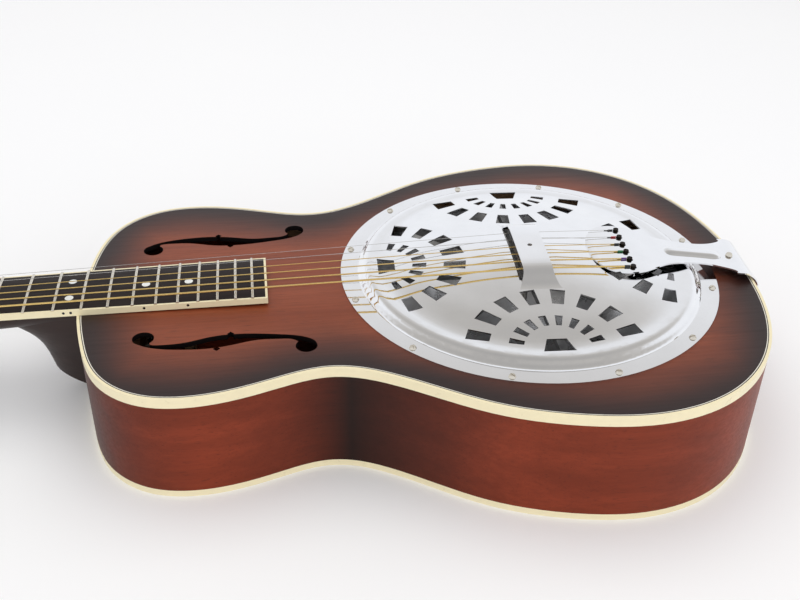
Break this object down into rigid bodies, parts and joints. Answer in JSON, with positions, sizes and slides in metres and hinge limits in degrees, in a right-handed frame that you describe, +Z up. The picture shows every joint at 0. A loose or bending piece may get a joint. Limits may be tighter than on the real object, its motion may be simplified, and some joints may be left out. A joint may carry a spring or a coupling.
{
  "type": "resonator guitar",
  "caption": "Round-neck wooden resonator guitar with a spider bridge under a pressed metal cover plate, f-holes, bound body, taut strings and geared tuners.",
  "frame": {"origin": "centre of the bounding box at the back, where the flat back lies on the floor", "axes": "+X from the headstock towards the tail, +Y towards the treble side, +Z up from the back to the strings"},
  "size_m": [1.021, 0.362, 0.1107],
  "materials": {
    "mahogany_top": "satin",
    "mahogany_side": "satin",
    "mahogany_neck": "satin",
    "inner_wood": "raw",
    "cream_binding": "satin",
    "dark_line": "satin",
    "white_line": "satin",
    "fretboard_wood": "oiled",
    "nickel": "polished",
    "chrome": "mirror",
    "spun_aluminium": "spun",
    "cast_aluminium": "cast",
    "maple": "satin",
    "bone": "polished",
    "pearl": "pearl",
    "black_plastic": "gloss",
    "plain_steel": "drawn",
    "bronze_string": "wound",
    "brass": "satin"
  },
  "bodies": {
    "root": {"back_braces": "inner_wood", "ball_ends": "brass", "binding_back": "cream_binding", "binding_top": "cream_binding", "body_back": "mahogany_side", "body_top": "mahogany_top", "cover_plate": "chrome", "cover_screws": "nickel", "end_pin": "chrome", "fretboard": "fretboard_wood", "fretboard_binding": "cream_binding", "frets": "nickel", "headplate": "black_plastic", "inlay_dots": "pearl", "lining_back": "inner_wood", "lining_top": "inner_wood", "neck": "mahogany_neck", "neck_block": "inner_wood", "neck_bolts": "plain_steel", "nut": "bone", "purfling_dark": "dark_line", "purfling_white": "white_line", "resonator_cone": "spun_aluminium", "saddle_bass": "maple", "saddle_treble": "maple", "side_bass": "mahogany_side", "side_dots": "black_plastic", "side_treble": "mahogany_side", "soundwell": "inner_wood", "spider": "cast_aluminium", "spider_screw": "plain_steel", "string_1": "plain_steel", "string_2": "plain_steel", "string_3": "bronze_string", "string_4": "bronze_string", "string_5": "bronze_string", "string_6": "bronze_string", "tail_block": "inner_wood", "tailpiece": "chrome", "tailpiece_screw": "nickel", "top_braces": "inner_wood", "truss_cover_screws": "nickel", "truss_rod": "plain_steel", "truss_rod_cover": "black_plastic", "tuner_bushings": "nickel", "tuner_housings": "chrome", "tuner_screws": "nickel"},
    "button_1": {"tuner_button_1": "chrome"},
    "post_1": {"tuner_post_1": "chrome"},
    "button_2": {"tuner_button_2": "chrome"},
    "post_2": {"tuner_post_2": "chrome"},
    "button_3": {"tuner_button_3": "chrome"},
    "post_3": {"tuner_post_3": "chrome"},
    "button_4": {"tuner_button_4": "chrome"},
    "post_4": {"tuner_post_4": "chrome"},
    "button_5": {"tuner_button_5": "chrome"},
    "post_5": {"tuner_post_5": "chrome"},
    "button_6": {"tuner_button_6": "chrome"},
    "post_6": {"tuner_post_6": "chrome"}
  },
  "joints": [
    {"name": "button_1_turn", "type": "hinge", "parent": "root", "child": "button_1", "pos_m": [-0.38853, 0.024, 0.03986], "axis": [0, 1, 0], "continuous": true},
    {"name": "post_1_turn", "type": "hinge", "parent": "root", "child": "post_1", "pos_m": [-0.38613, 0.024, 0.05985], "axis": [-0.2156, 0, 0.9765], "continuous": true},
    {"name": "button_2_turn", "type": "hinge", "parent": "root", "child": "button_2", "pos_m": [-0.42759, 0.026, 0.03124], "axis": [0, 1, 0], "continuous": true},
    {"name": "post_2_turn", "type": "hinge", "parent": "root", "child": "post_2", "pos_m": [-0.42519, 0.026, 0.05123], "axis": [-0.2156, 0, 0.9765], "continuous": true},
    {"name": "button_3_turn", "type": "hinge", "parent": "root", "child": "button_3", "pos_m": [-0.46665, 0.0275, 0.02262], "axis": [0, 1, 0], "continuous": true},
    {"name": "post_3_turn", "type": "hinge", "parent": "root", "child": "post_3", "pos_m": [-0.46425, 0.0275, 0.04261], "axis": [-0.2156, 0, 0.9765], "continuous": true},
    {"name": "button_4_turn", "type": "hinge", "parent": "root", "child": "button_4", "pos_m": [-0.46665, -0.0275, 0.02262], "axis": [0, -1, 0], "continuous": true},
    {"name": "post_4_turn", "type": "hinge", "parent": "root", "child": "post_4", "pos_m": [-0.46425, -0.0275, 0.04261], "axis": [-0.2156, 0, 0.9765], "continuous": true},
    {"name": "button_5_turn", "type": "hinge", "parent": "root", "child": "button_5", "pos_m": [-0.42759, -0.026, 0.03124], "axis": [0, -1, 0], "continuous": true},
    {"name": "post_5_turn", "type": "hinge", "parent": "root", "child": "post_5", "pos_m": [-0.42519, -0.026, 0.05123], "axis": [-0.2156, 0, 0.9765], "continuous": true},
    {"name": "button_6_turn", "type": "hinge", "parent": "root", "child": "button_6", "pos_m": [-0.38853, -0.024, 0.03986], "axis": [0, -1, 0], "continuous": true},
    {"name": "post_6_turn", "type": "hinge", "parent": "root", "child": "post_6", "pos_m": [-0.38613, -0.024, 0.05985], "axis": [-0.2156, 0, 0.9765], "continuous": true}
  ],
  "couplings": [
    {"joint": "post_1_turn", "follows": "button_1_turn", "ratio": 0.0625},
    {"joint": "post_2_turn", "follows": "button_2_turn", "ratio": 0.0625},
    {"joint": "post_3_turn", "follows": "button_3_turn", "ratio": 0.0625},
    {"joint": "post_4_turn", "follows": "button_4_turn", "ratio": -0.0625},
    {"joint": "post_5_turn", "follows": "button_5_turn", "ratio": -0.0625},
    {"joint": "post_6_turn", "follows": "button_6_turn", "ratio": -0.0625}
  ]
}
